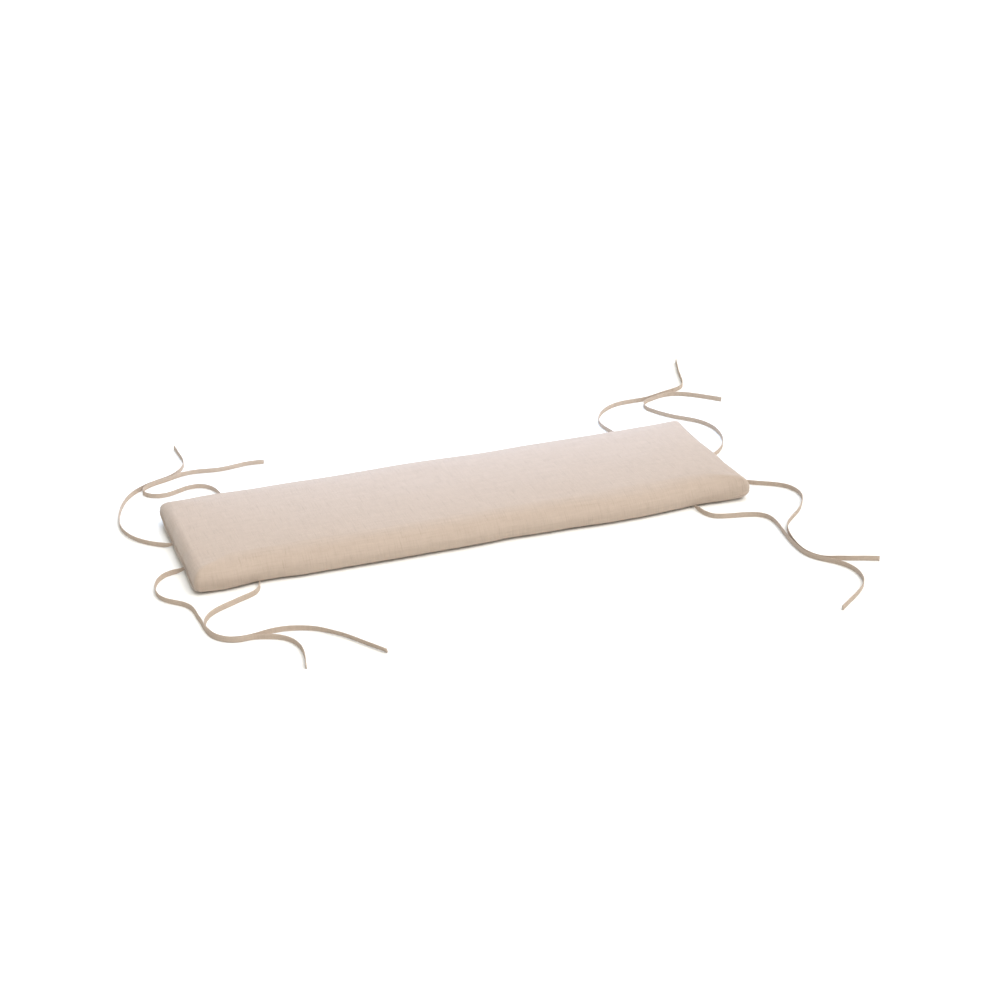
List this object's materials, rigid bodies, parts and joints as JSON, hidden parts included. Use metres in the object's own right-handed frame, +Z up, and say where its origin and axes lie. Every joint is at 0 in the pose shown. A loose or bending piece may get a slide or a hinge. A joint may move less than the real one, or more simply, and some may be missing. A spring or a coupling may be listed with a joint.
{
  "type": "bench cushion",
  "caption": "Long, thin cushion for a bench seat, with a soft crown, rolled sides, a low side seam and fabric ties near its corners for fastening it to a bench.",
  "frame": {"origin": "centre of the pad's flat underside, on the surface that it lies on", "axes": "+X along the pad's length, +Y across its width, +Z up"},
  "size_m": [1.4853, 1.2854, 0.0525],
  "materials": {
    "cover": "matt natural beige linen in plain weave with uneven slubs",
    "tie": "the same matt linen, folded and stitched into a narrow flat tape"
  },
  "bodies": {
    "root": {"cushion": "cover", "tie_front_left_edge": "tie", "tie_front_left_end": "tie", "tie_back_left_edge": "tie", "tie_back_left_end": "tie", "tie_front_right_edge": "tie", "tie_front_right_end": "tie", "tie_back_right_edge": "tie", "tie_back_right_end": "tie"}
  },
  "joints": []
}
